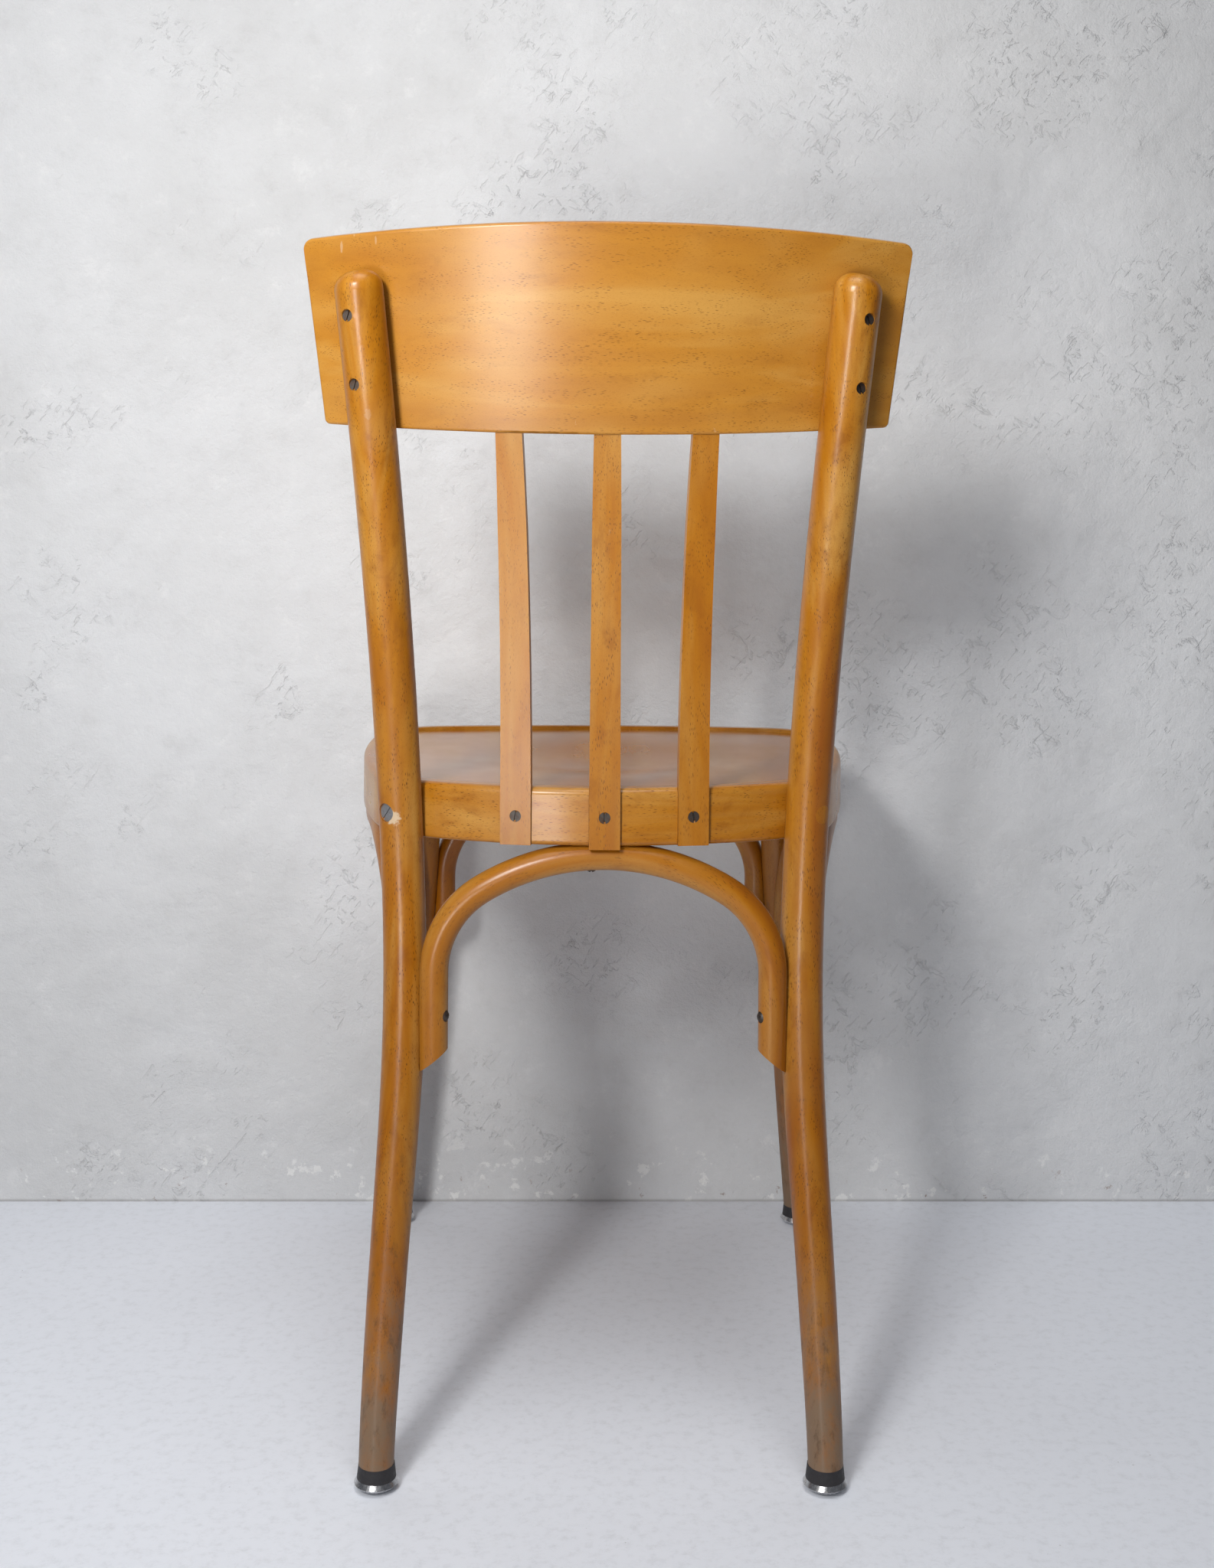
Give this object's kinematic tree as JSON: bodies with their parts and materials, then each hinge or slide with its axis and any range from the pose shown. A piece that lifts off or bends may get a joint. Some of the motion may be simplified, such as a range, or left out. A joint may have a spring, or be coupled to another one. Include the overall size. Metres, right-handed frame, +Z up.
{
  "type": "bentwood bistro chair",
  "caption": "Bentwood side chair with a curved back panel on two rear posts, flat back slats, a horseshoe seat ring with a dished seat, bent bows under the seat and capped feet.",
  "frame": {"origin": "on the floor, midway between the front and rear feet, on the chair's middle plane", "axes": "+Z up, the sitter faces -Y, the sitter's left is +X"},
  "size_m": [0.4143, 0.4869, 0.8405],
  "materials": {
    "bent_beech": "amber varnish, satin, worn grey-brown near the feet",
    "sawn_beech": "amber varnish, satin, grain along the slat",
    "back_plywood": "amber varnish, satin, grain across the chair",
    "seat_plywood": "amber varnish, glossy from wear",
    "screw_steel": "dull grey steel",
    "glide_chrome": "polished, scratched",
    "glide_rubber": "black, matt"
  },
  "bodies": {
    "root": {"back_panel": "back_plywood", "bolt_plug": "sawn_beech", "front_bow": "bent_beech", "front_bow_screws": "screw_steel", "front_leg_left": "bent_beech", "front_leg_right": "bent_beech", "glide_cap_front_left": "glide_chrome", "glide_cap_front_right": "glide_chrome", "glide_cap_rear_left": "glide_chrome", "glide_cap_rear_right": "glide_chrome", "glide_nail_front_left": "screw_steel", "glide_nail_front_right": "screw_steel", "glide_nail_rear_left": "screw_steel", "glide_nail_rear_right": "screw_steel", "glide_ring_front_left": "glide_rubber", "glide_ring_front_right": "glide_rubber", "glide_ring_rear_left": "glide_rubber", "glide_ring_rear_right": "glide_rubber", "panel_screws_left": "screw_steel", "panel_screws_right": "screw_steel", "rear_bow": "bent_beech", "rear_bow_screws": "screw_steel", "rear_post_left": "bent_beech", "rear_post_right": "bent_beech", "ring_bolt_left": "screw_steel", "ring_bolt_right": "screw_steel", "seat_panel": "seat_plywood", "seat_ring": "bent_beech", "side_bow_left": "bent_beech", "side_bow_right": "bent_beech", "side_bow_screws_left": "screw_steel", "side_bow_screws_right": "screw_steel", "slat_left": "sawn_beech", "slat_middle": "sawn_beech", "slat_right": "sawn_beech", "slat_screws": "screw_steel"}
  },
  "joints": []
}
